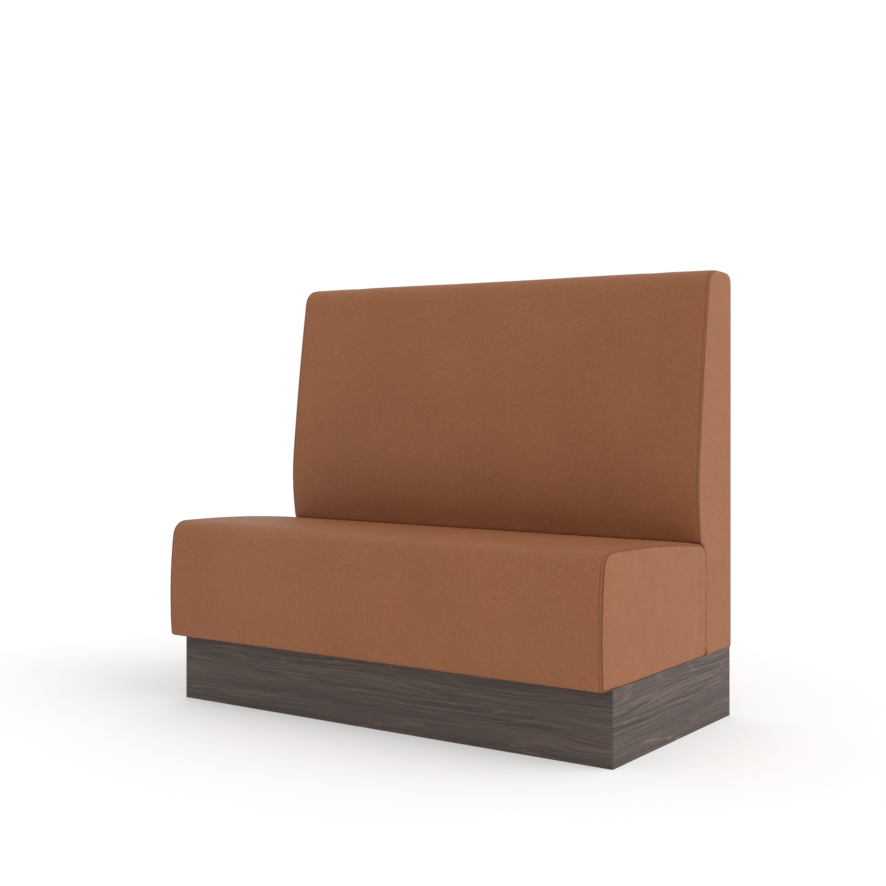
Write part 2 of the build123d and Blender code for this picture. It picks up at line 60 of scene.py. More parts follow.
# Camera
# A level camera stands in front of the booth and to its right, higher than the seat and lower than the
# top of the back. Its lens is shifted down, as for a furniture catalogue, so that upright edges stay so.
camera_place = (1.9459, -2.8178, 0.7670)
camera_turn = radians(34.66)
camera = bpy.data.objects.new("camera", bpy.data.cameras.new("camera"))
scene.collection.objects.link(camera)
camera.location = camera_place
camera.rotation_euler = (pi / 2, 0, camera_turn)
camera.data.sensor_width = 36.0
camera.data.lens = 57.0
camera.data.shift_y = -0.0557
camera.data.clip_end = 200.0
scene.camera = camera

# Studio light
# A white room lights the booth evenly from all round, in front of a backdrop that looks pure white. One
# broad soft lamp on the right, a little behind, makes the right end the brightest side and lays a faint
# shadow to the left and in front.
room_strength = 0.86
backdrop_strength = 1.0
lamp_strength = 1.35
lamp_softness = radians(60)
lamp_height = radians(33)
lamp_bearing = radians(12)
world = bpy.data.worlds.new("white room")
scene.world = world
world.use_nodes = True
room = world.node_tree
room.nodes.clear()
rays = room.nodes.new("ShaderNodeLightPath")
seen = rays.outputs["Is Camera Ray"]
for kind in ("Is Glossy Ray", "Is Transmission Ray"):
    either = room.nodes.new("ShaderNodeMath")
    either.operation = "MAXIMUM"
    room.links.new(seen, either.inputs[0])
    room.links.new(rays.outputs[kind], either.inputs[1])
    seen = either.outputs[0]
choice = room.nodes.new("ShaderNodeMixShader")
room.links.new(seen, choice.inputs[0])
for place, strength in ((1, room_strength), (2, backdrop_strength)):
    white = room.nodes.new("ShaderNodeBackground")
    white.inputs["Color"].default_value = (1.0, 1.0, 1.0, 1.0)
    white.inputs["Strength"].default_value = strength
    room.links.new(white.outputs[0], choice.inputs[place])
room_output = room.nodes.new("ShaderNodeOutputWorld")
room.links.new(choice.outputs[0], room_output.inputs["Surface"])
lamp = bpy.data.objects.new("soft_lamp", bpy.data.lights.new("soft_lamp", "SUN"))
scene.collection.objects.link(lamp)
lamp.data.energy = lamp_strength
lamp.data.angle = lamp_softness
towards_lamp = Vector((
    cos(lamp_height) * cos(lamp_bearing), cos(lamp_height) * sin(lamp_bearing), sin(lamp_height)
))
lamp.rotation_euler = towards_lamp.to_track_quat("Z", "Y").to_euler()


# Floor
# A wide pale studio floor. It gives off a little light of its own, so that the shadow on it stays
# light. Its paint is the first to be mixed, so the means of mixing paints come here.
class Socket:
    """A shader socket that takes part in sums, products and comparisons."""

    def __init__(self, paint, socket):
        self.paint = paint
        self.socket = socket

    def maths(self, operation, first, second):
        return self.paint.node("ShaderNodeMath", {"operation": operation}, first, second)

    def __add__(self, other):
        return self.maths("ADD", self, other)

    def __radd__(self, other):
        return self.maths("ADD", other, self)

    def __sub__(self, other):
        return self.maths("SUBTRACT", self, other)

    def __rsub__(self, other):
        return self.maths("SUBTRACT", other, self)

    def __mul__(self, other):
        return self.maths("MULTIPLY", self, other)

    def __rmul__(self, other):
        return self.maths("MULTIPLY", other, self)

    def __truediv__(self, other):
        return self.maths("DIVIDE", self, other)

    def __lt__(self, other):
        return self.maths("LESS_THAN", self, other)

    def __gt__(self, other):
        return self.maths("GREATER_THAN", self, other)


class Paint:
    """A material under construction, with its one Principled shader."""

    def __init__(self, name, **settings):
        self.material = bpy.data.materials.new(name)
        self.material.use_nodes = True
        self.tree = self.material.node_tree
        self.shader = self.tree.nodes["Principled BSDF"]
        for name_of_socket, value in settings.items():
            self.shader.inputs[name_of_socket.replace("_", " ")].default_value = value

    def node(self, kind, settings=None, *inputs, output=0, **named):
        made = self.tree.nodes.new(kind)
        for key, value in (settings or {}).items():
            setattr(made, key, value)
        for place, value in list(enumerate(inputs)) + list(named.items()):
            socket = made.inputs[place if isinstance(place, int) else place.replace("_", " ")]
            if isinstance(value, Socket):
                self.tree.links.new(value.socket, socket)
            elif value is not None:
                socket.default_value = value
        return Socket(self, made.outputs[output])

    def feed(self, **sockets):
        for name, value in sockets.items():
            self.tree.links.new(value.socket, self.shader.inputs[name.replace("_", " ")])

    def place(self, stretch=(1, 1, 1), turn=(0, 0, 0)):
        own = self.node("ShaderNodeTexCoord", output="Object")
        return self.node("ShaderNodeMapping", None, own, Scale=stretch, Rotation=turn)

    def cloud(self, where, scale, detail=3.0, roughness=0.5, distortion=0.0):
        return self.node(
            "ShaderNodeTexNoise", None, Vector=where, Scale=scale, Detail=detail,
            Roughness=roughness, Distortion=distortion, output="Fac",
        )

    def cells(self, where, scale, feature="F1", output="Distance", randomness=1.0):
        return self.node(
            "ShaderNodeTexVoronoi", {"feature": feature}, Vector=where,
            Scale=scale, Randomness=randomness, output=output,
        )

    def ramp(self, value, low, high):
        smooth = {"clamp": True, "interpolation_type": "SMOOTHSTEP"}
        return self.node("ShaderNodeMapRange", smooth, value, low, high, 0.0, 1.0)

    def fraction(self, value):
        return self.node("ShaderNodeMath", {"operation": "FRACT"}, value)

    def blend(self, amount, first, second):
        mixed = self.tree.nodes.new("ShaderNodeMix")
        mixed.data_type = "RGBA"
        for place, value in ((0, amount), (6, first), (7, second)):
            if isinstance(value, Socket):
                self.tree.links.new(value.socket, mixed.inputs[place])
            elif place == 0:
                mixed.inputs[place].default_value = value
            else:
                mixed.inputs[place].default_value = (*value, 1.0)
        return Socket(self, mixed.outputs[2])

    def relief(self, height, depth, under=None):
        return self.node(
            "ShaderNodeBump", None, Strength=1.0, Distance=depth, Height=height, Normal=under,
            output="Normal",
        )


floor_size = 60.0
floor_mesh = bmesh.new()
bmesh.ops.create_grid(floor_mesh, x_segments=1, y_segments=1, size=floor_size)
floor = bpy.data.objects.new("floor", bpy.data.meshes.new("floor"))
floor_mesh.to_mesh(floor.data)
floor_mesh.free()
scene.collection.objects.link(floor)
floor_paint = Paint(
    "studio floor", Roughness=0.9, Specular_IOR_Level=0.1, Base_Color=(0.71, 0.71, 0.71, 1.0),
    Emission_Color=(1.0, 0.995, 0.99, 1.0), Emission_Strength=0.27,
)
floor.data.materials.append(floor_paint.material)


# Leathercloth
# The covers are cut from one tan leathercloth: a knitted backing with a soft vinyl face that is
# embossed with a fine hide grain. It is matt to satin. Its colour carries painted shade in the seams,
# along the topstitch channels and in the valleys of the grain.
tan = (0.301, 0.112, 0.043)
tan_deep = (0.250, 0.088, 0.031)
tan_pale = (0.348, 0.134, 0.053)
tan_warm = (0.314, 0.111, 0.038)
# seam_shade is the colour that painted shade darkens towards in seams, topstitch channels and grain
# valleys.
seam_shade = (0.125, 0.040, 0.014)
shaded_width = 0.0013
pebbles_per_metre = 620.0
hide_depth = 0.00030
fleck_height = 2.2
puckers_per_metre = 95.0
pucker_stretch = 12.0
pucker_depth = 0.0011
pucker_start = 0.001
pucker_end = 0.030


def leathercloth(name):
    """Tan leathercloth that reads from the mesh how far each point is from its seam."""
    paint = Paint(name, Specular_IOR_Level=0.32)
    where = paint.place()
    broad = paint.cloud(where, scale=5.0, detail=2.0)
    mottle = paint.cloud(where, scale=38.0, detail=4.0, roughness=0.6)
    colour = paint.blend(paint.ramp(broad, 0.30, 0.70), tan_deep, tan_pale)
    colour = paint.blend(0.70, colour, tan)
    hue = paint.cloud(where, scale=11.0, detail=2.0)
    colour = paint.blend(paint.ramp(hue, 0.40, 0.62) * 0.40, colour, tan_warm)
    colour = paint.blend(paint.ramp(mottle, 0.35, 0.75) * 0.16, colour, tan_deep)
    fleck = paint.cloud(where, scale=175.0, detail=3.0, roughness=0.7)
    colour = paint.blend((1.0 - paint.ramp(fleck, 0.34, 0.54)) * 0.54, colour, tan_deep)
    colour = paint.blend(paint.ramp(fleck, 0.50, 0.66) * 0.52, colour, tan_pale)
    warp = paint.cloud(where, scale=240.0, detail=2.0)
    pebbles = paint.cells(where, pebbles_per_metre, feature="DISTANCE_TO_EDGE")
    # Painted shade: the valleys between the grain's pebbles are darkened towards seam_shade, besides their
    # bump.
    crease = 1.0 - paint.ramp(pebbles, 0.0, 0.22)
    colour = paint.blend(crease * 0.22, colour, seam_shade)
    from_seam = paint.node("ShaderNodeAttribute", {"attribute_name": "from_seam"}, output="Fac")
    along_seam = paint.node("ShaderNodeAttribute", {"attribute_name": "along_seam"}, output="Fac")
    # Painted shade: near each seam the colour darkens towards seam_shade, where the groove and rolled edge
    # lie.
    seam_shade_mask = 1.0 - paint.ramp(from_seam, 0.0, shaded_width)
    colour = paint.blend(seam_shade_mask * 0.60, colour, seam_shade)
    # Painted shade along the topstitch channel, on top of its real dip.
    stitch_line = paint.node("ShaderNodeAttribute", {"attribute_name": "stitch_line"}, output="Fac")
    colour = paint.blend(stitch_line * 0.26, colour, seam_shade)
    paint.feed(Base_Color=colour)
    paint.feed(Roughness=0.47 + mottle * 0.10 + crease * 0.12 + seam_shade_mask * 0.30 + stitch_line * 0.20)
    pucker_place = paint.node(
        "ShaderNodeCombineXYZ", None, along_seam * puckers_per_metre, from_seam * pucker_stretch, 0.0
    )
    fading = 1.0 - paint.ramp(from_seam, pucker_start, pucker_end)
    puckers = paint.relief(paint.cloud(pucker_place, scale=1.0, detail=1.0) * fading, pucker_depth)
    hide = paint.relief((1.0 - crease) * 0.5 + warp + fleck * fleck_height, hide_depth, puckers)
    paint.feed(Normal=hide)
    return paint.material


leather = leathercloth("tan leathercloth")


# Outlines of seat and back
# A cover's section is drawn as a walk in the Y-Z plane, from a start and a heading: straight runs,
# and arcs that follow smoothly on each other. Each run has a name, so that a panel can take its share.
sharp_turn = radians(50)
mitre_limit = 0.5


def walk(start, heading, runs):
    """The points of a walk round a section, each with the name of its run."""
    section = bmesh.new()
    tip = section.verts.new((0.0, *start))
    points = [(tip.co.copy(), runs[0][0])]
    for name, length, radius, turn, steps in runs:
        part = radians(turn) / steps
        for step in range(steps):
            forward = Vector((0, cos(heading), sin(heading)))
            if radius:
                left = Vector((0, -forward.z, forward.y)) * (1 if turn > 0 else -1)
                made = bmesh.ops.spin(
                    section, geom=[tip], cent=tip.co + left * radius, axis=(1, 0, 0), angle=part, steps=1
                )
                tip = made["geom_last"][0]
                heading += part
            else:
                tip = bmesh.ops.extrude_vert_indiv(section, verts=[tip])["verts"][0]
                tip.co += forward * length / steps
            points.append((tip.co.copy(), name))
        if not radius:
            heading += radians(turn)
    section.free()
    return points[:-1]


def turns(points):
    """The unit steps that lead to and from each point of a closed section."""
    for here in range(len(points)):
        before = (points[here][0] - points[here - 1][0]).normalized()
        after = (points[(here + 1) % len(points)][0] - points[here][0]).normalized()
        yield before, after


def outward(points):
    """The outward direction at each point of a closed section that is walked anticlockwise."""
    directions = []
    for before, after in turns(points):
        tangent = (before + after).normalized()
        directions.append(Vector((0, tangent.z, -tangent.y)) / max(mitre_limit, tangent.dot(after)))
    return directions


def sharp_corners(points):
    """The numbers of the points where a closed section turns sharply."""
    return {here for here, (before, after) in enumerate(turns(points)) if before.angle(after) > sharp_turn}


seat_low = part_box("seat_cover")[0].z
seat_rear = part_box("seat_cover")[1].y
staple_drop = 0.030
seat_staple_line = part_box("seat_back_rail")[1].z - staple_drop
plinth_inner_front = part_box("plinth_cross_rail")[0].y
heel_foot = 0.389785
hem_radius = 0.0105
hem_end = -0.310843
# Each run has a name, a length or a radius, a turn in degrees and a number of steps.
seat_runs = (
    ("rear_low", seat_staple_line - seat_low, 0, 0, 6),
    ("rear_high", heel_foot - seat_staple_line, 0, 0, 8),
    ("heel", 0, 0.034, 83.483, 9),
    ("crown", 0, 3.8000, 6.449, 36),
    ("nose", 0, 0.040, 82.834, 11),
    ("belly", 0, 1.17093, 11.784, 22),
    ("hem", 0, hem_radius, 85.450, 5),
    ("turn_in", plinth_inner_front - hem_end, 0, 0, 4),
    ("under", seat_rear - plinth_inner_front, 0, 0, 16),
)
seat_section = walk((seat_rear, seat_low), pi / 2, seat_runs)
back_rear = cad_box[1][1]
back_staple_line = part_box("back_cover")[0].z
outside_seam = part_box("outside_back_cover")[1].z
rear_edge_foot = 1.027531
under_depth = 0.1437
outside_turn_under = 0.018
back_runs = (
    ("outside", outside_seam - seat_low, 0, 0, 34),
    ("rear_top", rear_edge_foot - outside_seam, 0, 0, 3),
    ("rear_edge", 0, 0.026, 86.0, 8),
    ("top", 0, 0.833960, 4.0, 6),
    ("nose", 0, 0.045, 81.1, 11),
    ("face_top", 0.0015, 0, 0, 1),
    ("face", 0, 7.84375, 3.0, 34),
    ("lumbar", 0, 0.620, 16.625, 17),
    ("tip", 0, hem_radius, 58.149, 5),
    ("notch", 0, 0.0343, -68.874, 7),
    ("front_high", heel_foot - back_staple_line, 0, 0, 4),
    ("front_low", back_staple_line - seat_low, 0, 90.0, 8),
    ("under", under_depth - outside_turn_under, 0, 0, 8),
    ("under_rear", outside_turn_under, 0, 90.0, 2),
)
back_section = walk((back_rear, seat_low), pi / 2, back_runs)


# Cover panels
# Each cover is a panel over the length of the bench and one for each end. The sewn edges roll in by
# a few millimetres, the padding rounds towards them, and the foam presses the cloth out between.
side = cad_box[1][0]
end_rise = 0.003
end_round = 0.027
seam_side = side - end_rise
stitch_inset = 0.0050
stitch_side = seam_side - stitch_inset
flap_width = 0.036
window_side = seam_side - flap_width
cloth_thickness = 0.0012
round_length = 0.0120
round_depth = 0.0036
seam_groove = 0.0009
groove_width = 0.0006
channel_depth = 0.0007
channel_width = 0.0011
allowance = 0.006
allowance_fold = 0.0002
column_spacing = 0.017
near_seam = (
    0.0, 0.0004, 0.0012, 0.0024, 0.0034, 0.0042, stitch_inset, 0.0058, 0.0066, 0.0090, 0.0140, 0.0230
)
end_rings = (0.0, 0.0005, 0.0014, 0.0030, 0.0055)
end_cell = 0.009
end_cell_snap = 0.0004
outline_steps = 8
flap_steps = (0.0012, 0.0030, 0.0065, 0.0104, 0.0150, 0.0230)
squareness = 0.95
square_shade_width = 0.0014
press_reach = 0.035
press_top = 0.430
press_fade = 0.020
board_edge_reach = 0.012
board_squareness = 0.6
free_lift = 0.0004
free_reach = 0.02
panel_free_start = 0.0015
end_free_start = 0.002
same_place = 1e-6


def growing(value, start, reach):
    """A share that grows from 0 at the start to 1 when the value is a reach further on."""
    return min(1.0, max(0.0, (value - start) / reach))


def roundness(place):
    """How much of its rounding an edge keeps: less between seat and back and over the outside board."""
    near = max(0.0, 1.0 - abs(place.y - seat_rear) / press_reach)
    low = growing(-place.z, -press_top, press_fade)
    over_board = max(0.0, 1.0 - (back_rear - place.y) / board_edge_reach)
    return 1.0 - squareness * max(near * low, board_squareness * over_board)


def channel(x):
    """The share of its full depth that the topstitch channel has at a place along the bench."""
    return exp(-(((abs(x) - stitch_side) / channel_width) ** 2))


def drawn_in(x):
    """How far the section shrinks towards the seam at the end of the bench."""
    share = max(0.0, (abs(x) - side + round_length) / round_length)
    shrink = round_depth * (1 - sqrt(1 - share**2))
    return shrink + channel_depth * channel(x) + seam_groove * exp(-(seam_side - abs(x)) / groove_width)


def bulged(distance):
    """How far out an end panel stands at a distance from its seam."""
    return seam_side + end_rise * (1 - (1 - min(1.0, distance / end_round)) ** 3)


def columns():
    """Places along the bench and depths of the rows of a panel, closer together towards the seams."""
    count = int(window_side / column_spacing)
    places = [window_side * step / count for step in range(count + 1)]
    places += [seam_side - step for step in near_seam[::-1]]
    right = [(x, drawn_in(x)) for x in places]
    right.append((seam_side - allowance_fold, drawn_in(seam_side) + allowance))
    return [(-x, depth) for x, depth in right[:0:-1]] + right


def length_along(points):
    """The distance walked to each point of a section."""
    lengths = [0.0]
    for (first, _), (second, _) in zip(points, points[1:]):
        lengths.append(lengths[-1] + (second - first).length)
    return lengths


def nearest(section, place):
    """The number of the section's point that is nearest to a place, as seen from the end."""
    return min(range(len(section)), key=lambda here: (section[here][0].yz - place.yz).length)


def row_places(section, names, rolled_ends):
    """Where a panel's rows lie: a point of the section, a share of the way to the next, and a sinking."""
    lengths = length_along(section)
    chosen = [here for here, (_, name) in enumerate(section) if name in names]
    if chosen[0] > 0:
        chosen = [chosen[0] - 1] + chosen
    first, last = chosen[0], chosen[-1]
    stations = [(here, 0.0, 0.0) for here in chosen]
    if "start" in rolled_ends:
        span = lengths[first + 1] - lengths[first]
        near = [(first, step / span, 0.0) for step in near_seam[1:4]]
        stations = [(first, 0.0, allowance), (first, 0.0, seam_groove)] + near + stations[1:]
    if "end" in rolled_ends:
        span = lengths[last] - lengths[last - 1]
        near = [(last - 1, 1.0 - step / span, 0.0) for step in near_seam[3:0:-1]]
        stations = stations[:-1] + near + [(last, 0.0, seam_groove), (last, 0.0, allowance)]
    return stations


def wrapped_panel(section, names, looseness, rolled_ends=()):
    """A grid bent round the named runs of a section and along the whole bench."""
    away = outward(section)
    lengths = length_along(section)
    stations = row_places(section, names, rolled_ends)
    start, finish = lengths[stations[0][0]], lengths[stations[-1][0]]
    rows = columns()
    last_row, last_station = len(rows) - 1, len(stations) - 1
    panel = bmesh.new()
    bmesh.ops.create_grid(panel, x_segments=last_row, y_segments=last_station, size=1.0)
    from_seam = panel.verts.layers.float.new("from_seam")
    along_seam = panel.verts.layers.float.new("along_seam")
    stitched = panel.verts.layers.int.new("stitched")
    stitch_line = panel.verts.layers.float.new("stitch_line")
    free = panel.verts.layers.float.new("free")
    crease = panel.edges.layers.float.new("crease_edge")
    corner = panel.verts.layers.float.new("crease_vert")
    folds = sharp_corners(section)
    folded = {}
    for vert in panel.verts:
        column = round((vert.co.x + 1) / 2 * last_row)
        station = round((vert.co.y + 1) / 2 * last_station)
        here, share, sunk = stations[station]
        x, depth = rows[column]
        place, name = section[here]
        if here in folds and not share and not sunk:
            folded[vert] = station
        if station in (0, last_station) and column in (1, last_row - 1):
            vert[corner] = 1.0
        walked = lengths[here]
        if share:
            place = place.lerp(section[here + 1][0], share)
            walked += share * (lengths[here + 1] - lengths[here])
        ease = looseness(place, name)
        vert.co = place - away[here] * (depth * roundness(place) + sunk - free_lift * ease)
        vert.co.x = x
        # from_seam places the painted seam shade and the puckers.
        vert[from_seam] = max(0.0, seam_side - abs(x))
        if "start" in rolled_ends:
            vert[from_seam] = min(vert[from_seam], walked - start)
        if "end" in rolled_ends:
            vert[from_seam] = min(vert[from_seam], finish - walked)
        vert[along_seam] = walked
        # stitch_line marks the topstitch channel, along which the leathercloth paints shade.
        vert[stitch_line] = channel(x)
        if abs(abs(x) - stitch_side) < same_place and sunk == 0.0:
            vert[stitched] = (station + 1) * (1 if x > 0 else -1)
        vert[free] = ease * growing(seam_side - abs(x), panel_free_start, free_reach)
    for edge in panel.edges:
        one_end, other_end = edge.verts
        if one_end in folded and folded[one_end] == folded.get(other_end):
            edge[crease] = 1.0
    bmesh.ops.recalc_face_normals(panel, faces=panel.faces)
    largest = max(panel.faces, key=lambda face: face.calc_area())
    if largest.normal.dot(away[nearest(section, largest.calc_center_median())]) < 0:
        bmesh.ops.reverse_faces(panel, faces=panel.faces)
    return panel


def extruded(panel, edges):
    """Extrude a row of edges; gives the new edges and, for each old point, its new one.

    Blender's own operator makes the same faces, but in an order that differs from run to run."""
    made = {}
    rim = []
    for edge in edges:
        near, far = edge.verts
        for vert in (near, far):
            if vert not in made:
                made[vert] = panel.verts.new(vert.co, vert)
        rim.append(panel.edges.new((made[near], made[far])))
        panel.faces.new((near, far, made[far], made[near]))
    return rim, made


def cut_in_cells(panel, section, inner):
    """Cut the middle of an end panel in square cells, so that it can swell."""
    for axis, normal in ((1, (0, 1, 0)), (2, (0, 0, 1))):
        levels = [place[axis] for place, _ in section]
        low, high = min(levels), max(levels)
        count = int((high - low) / end_cell)
        for step in range(1, count):
            level = low + (high - low) * step / count
            faces = [face for face in panel.faces if face[inner]]
            edges = list(dict.fromkeys(edge for face in faces for edge in face.edges))
            verts = list(dict.fromkeys(vert for face in faces for vert in face.verts))
            bmesh.ops.bisect_plane(
                panel, geom=faces + edges + verts, plane_co=(0, level, level), plane_no=normal,
                dist=end_cell_snap,
            )


def end_panel(section, right, turned_under, looseness):
    """A gently bulged panel in the shape of the section, with its turned-in flaps below and behind."""
    away = outward(section)
    lengths = length_along(section)
    rounded = [roundness(place) for place, _ in section]
    flapped = [name in turned_under for _, name in section]
    sharp = sharp_corners(section)
    # The points where a sewn edge ends and a flap begins keep their place as sharp corners do.
    for here in range(len(section)):
        if flapped[here - 1] != flapped[here]:
            sharp.add((here - 1) % len(section))
    seam_depth = drawn_in(seam_side)
    outline = kdtree.KDTree(len(section) * outline_steps)
    for here, (place, _) in enumerate(section):
        follow = (here + 1) % len(section)
        start = place - away[here] * seam_depth * rounded[here]
        finish = section[follow][0] - away[follow] * seam_depth * rounded[follow]
        for step in range(outline_steps):
            outline.insert(start.lerp(finish, step / outline_steps), here)
    outline.balance()
    panel = bmesh.new()
    from_seam = panel.verts.layers.float.new("from_seam")
    along_seam = panel.verts.layers.float.new("along_seam")
    free = panel.verts.layers.float.new("free")
    inner = panel.faces.layers.int.new("inner")
    corner = panel.verts.layers.float.new("crease_vert")
    verts = [panel.verts.new(place) for place, _ in section]
    edges = [panel.edges.new((verts[here - 1], verts[here])) for here in range(len(verts))]
    seam_verts = list(verts)
    for distance in end_rings:
        if distance:
            edges, new = extruded(panel, edges)
            verts = [new[vert] for vert in verts]
        for here, vert in enumerate(verts):
            vert.co = section[here][0] - away[here] * (seam_depth * rounded[here] + distance)
            vert.co.x = bulged(distance)
            vert[corner] = 1.0 if here in sharp else 0.0
            # from_seam places the painted seam shade round the end panel's seam.
            vert[from_seam] = distance + square_shade_width * (1.0 - rounded[here])
            vert[along_seam] = lengths[here]
    middle = panel.faces.new(verts)
    middle[inner] = 1
    cut_in_cells(panel, section, inner)
    for vert in panel.verts:
        if any(face[inner] for face in vert.link_faces):
            flat = Vector((0, vert.co.y, vert.co.z))
            _, here, distance = outline.find(flat)
            vert.co.x = bulged(distance)
            vert[from_seam] = distance
            vert[along_seam] = lengths[here]
            vert[free] = looseness(flat, "end") * growing(distance, end_free_start, free_reach)
    seam = [panel.edges.get((seam_verts[here - 1], seam_verts[here])) for here in range(len(seam_verts))]
    flap = [edge for edge, turned in zip(seam, flapped) if turned]
    roll = [edge for edge, turned in zip(seam, flapped) if not turned]
    _, rolled = extruded(panel, roll)
    for vert in rolled.values():
        vert.co -= away[nearest(section, vert.co)] * allowance
    for x in [seam_side - step for step in flap_steps] + [window_side]:
        flap, turned_in = extruded(panel, flap)
        for vert in turned_in.values():
            here = nearest(section, vert.co)
            vert.co = section[here][0] - away[here] * drawn_in(x) * rounded[here]
            vert.co.x = x
            vert[corner] = 1.0 if here in sharp else 0.0
            # The turned-under edge gets the same painted shade as a seam, where the cover folds under.
            vert[from_seam] = seam_side - x + square_shade_width * (1.0 - rounded[here])
    if not right:
        whole = panel.verts[:] + panel.edges[:] + panel.faces[:]
        bmesh.ops.mirror(panel, geom=whole, axis="X", merge_dist=-1)
        bmesh.ops.delete(panel, geom=[vert for vert in panel.verts if vert.co.x > 0], context="VERTS")
    bmesh.ops.recalc_face_normals(panel, faces=panel.faces)
    widest = max(panel.faces, key=lambda face: face.calc_area() * abs(face.normal.x))
    if (widest.normal.x > 0) != right:
        bmesh.ops.reverse_faces(panel, faces=panel.faces)
    return panel


swell_pressure = 4.0
swell_frames = 20
swell_limit = 0.0012
held_below = 0.02
unevenness = 0.00012
waves_per_metre = 9.0
ripples_per_metre = 21.0
ripple_share = 0.5


def swollen(piece, loose):
    """Where the foam's pressure moves the points of a cover that is held along its seams."""
    held = piece.vertex_groups.new(name="held")
    for vert, share in zip(piece.data.vertices, loose):
        held.add([vert.index], 1.0 if share < held_below else 0.0, "REPLACE")
    cloth = piece.modifiers.new("press", "CLOTH")
    cloth.settings.quality = 5
    cloth.settings.mass = 0.4
    cloth.settings.tension_stiffness = 25
    cloth.settings.compression_stiffness = 25
    cloth.settings.bending_stiffness = 2.0
    cloth.settings.use_pressure = True
    cloth.settings.uniform_pressure_force = swell_pressure
    cloth.settings.vertex_group_mass = "held"
    cloth.settings.effector_weights.gravity = 0.0
    cloth.point_cache.frame_start = 1
    cloth.point_cache.frame_end = swell_frames
    for frame_number in range(1, swell_frames + 1):
        scene.frame_set(frame_number)
    moved = piece.evaluated_get(bpy.context.evaluated_depsgraph_get())
    places = [vert.co.copy() for vert in moved.data.vertices]
    piece.modifiers.remove(cloth)
    piece.vertex_groups.clear()
    scene.frame_set(1)
    return places


def fitted_cover(name, panel, replaced):
    """Press a panel out by its foam, give it its thickness and put it in the place of its CAD node."""
    mesh = bpy.data.meshes.new(name)
    panel.to_mesh(mesh)
    panel.free()
    for polygon in mesh.polygons:
        polygon.use_smooth = True
    piece = bpy.data.objects.new(name, mesh)
    scene.collection.objects.link(piece)
    piece.data.materials.append(leather)
    loose = [item.value for item in mesh.attributes["free"].data]
    before = [vert.co.copy() for vert in mesh.vertices]
    if max(loose) > 0:
        for vert, start, finish, share in zip(mesh.vertices, before, swollen(piece, loose), loose):
            rise = max(0.0, (finish - start).dot(vert.normal))
            vert.co = start + vert.normal * swell_limit * tanh(rise / swell_limit) * min(1.0, share * 2)
    for vert, start, share in zip(mesh.vertices, before, loose):
        wave = noise.noise(start * waves_per_metre) + ripple_share * noise.noise(start * ripples_per_metre)
        vert.co += vert.normal * unevenness * wave * share
    mesh.update()
    finer = piece.modifiers.new("finer", "SUBSURF")
    finer.levels = finer.render_levels = 1
    wall = piece.modifiers.new("wall", "SOLIDIFY")
    wall.thickness = cloth_thickness
    wall.offset = -1.0
    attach(piece, "booth")
    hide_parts(replaced)
    return piece


# Seat covers
# The front and top of the seat are one panel, sewn to a panel at each end. Below it is turned in and
# stapled under the frame, and behind it is stapled to the back rail, out of sight.
seat_wrap = ("rear_high", "heel", "crown", "nose", "belly", "hem", "turn_in")
seat_held_runs = ("rear_low", "rear_high", "heel", "turn_in", "under", "hem")
hem_hold = 0.010
hem_reach = 0.04
under_back_start = 0.140
under_back_reach = 0.05


def seat_looseness(place, name):
    """How freely the seat's cloth can swell: not at all where the back and the plinth hold it."""
    if name in seat_held_runs:
        return 0.0
    near_back = growing(-place.y, -under_back_start, under_back_reach)
    return near_back * growing(place.z - seat_low, hem_hold, hem_reach)


seat_cover = fitted_cover(
    "seat_cover_cloth",
    wrapped_panel(seat_section, seat_wrap, seat_looseness),
    "seat_cover",
)
for right, ending in ((True, "right"), (False, "left")):
    fitted_cover(
        f"seat_end_cloth_{ending}",
        end_panel(seat_section, right, ("rear_low", "under"), seat_looseness),
        f"seat_end_cover_{ending}",
    )


# Back covers
# The face and top of the back are one panel that ends in a seam across the outside back, where a
# plain panel over a board begins. The end panels are sewn on like those of the seat.
back_wrap = (
    "rear_top", "rear_edge", "top", "nose", "face_top", "face", "lumbar", "tip", "notch", "front_high",
)
back_held_runs = ("tip", "notch", "front_high", "front_low", "under", "under_rear")
above_seat_start = 0.445
above_seat_reach = 0.05


def back_looseness(place, name):
    """How freely the back's cloth can swell: not at all where seat and plinth hold it."""
    if name in back_held_runs:
        return 0.0
    if name == "end":
        return growing(place.z - seat_low, hem_hold, hem_reach)
    return growing(place.z, above_seat_start, above_seat_reach)


def outside_looseness(place, name):
    """The outside back is stretched flat over its board and can't swell anywhere."""
    return 0.0


back_cover = fitted_cover(
    "back_cover_cloth",
    wrapped_panel(back_section, back_wrap, back_looseness, ("start",)),
    "back_cover",
)
for right, ending in ((True, "right"), (False, "left")):
    fitted_cover(
        f"back_end_cloth_{ending}",
        end_panel(back_section, right, ("front_low", "under"), back_looseness),
        f"back_end_cover_{ending}",
    )
outside_section = back_section[-2:] + back_section[:-2]
outside_cover = fitted_cover(
    "outside_back_cloth",
    wrapped_panel(outside_section, ("under_rear", "outside"), outside_looseness, ("end",)),
    "outside_back_cover",
)


# Topstitching
# A row of brown thread runs beside each end seam, through the long panel and its seam allowance. The
# stitches are about four millimetres long and lie in a shallow channel that they pull themselves.
stitch_pitch = 0.0054
stitch_length = 0.0042
stitch_radius = 0.00055
stitch_proud_share = 0.35
stitch_sides = 6
stitch_spans = 5
thread_dark = (0.085, 0.030, 0.014)
thread_pale = (0.190, 0.075, 0.036)
twist_scale = 420.0
thread = Paint("topstitch thread", Roughness=0.55)
twist = thread.node(
    "ShaderNodeTexWave", {"wave_type": "BANDS", "bands_direction": "DIAGONAL"},
    Vector=thread.place(), Scale=twist_scale, Distortion=0.5, output="Fac",
)
thread.feed(Base_Color=thread.blend(twist, thread_dark, thread_pale))
thread.feed(Normal=thread.relief(twist, depth=0.0001))


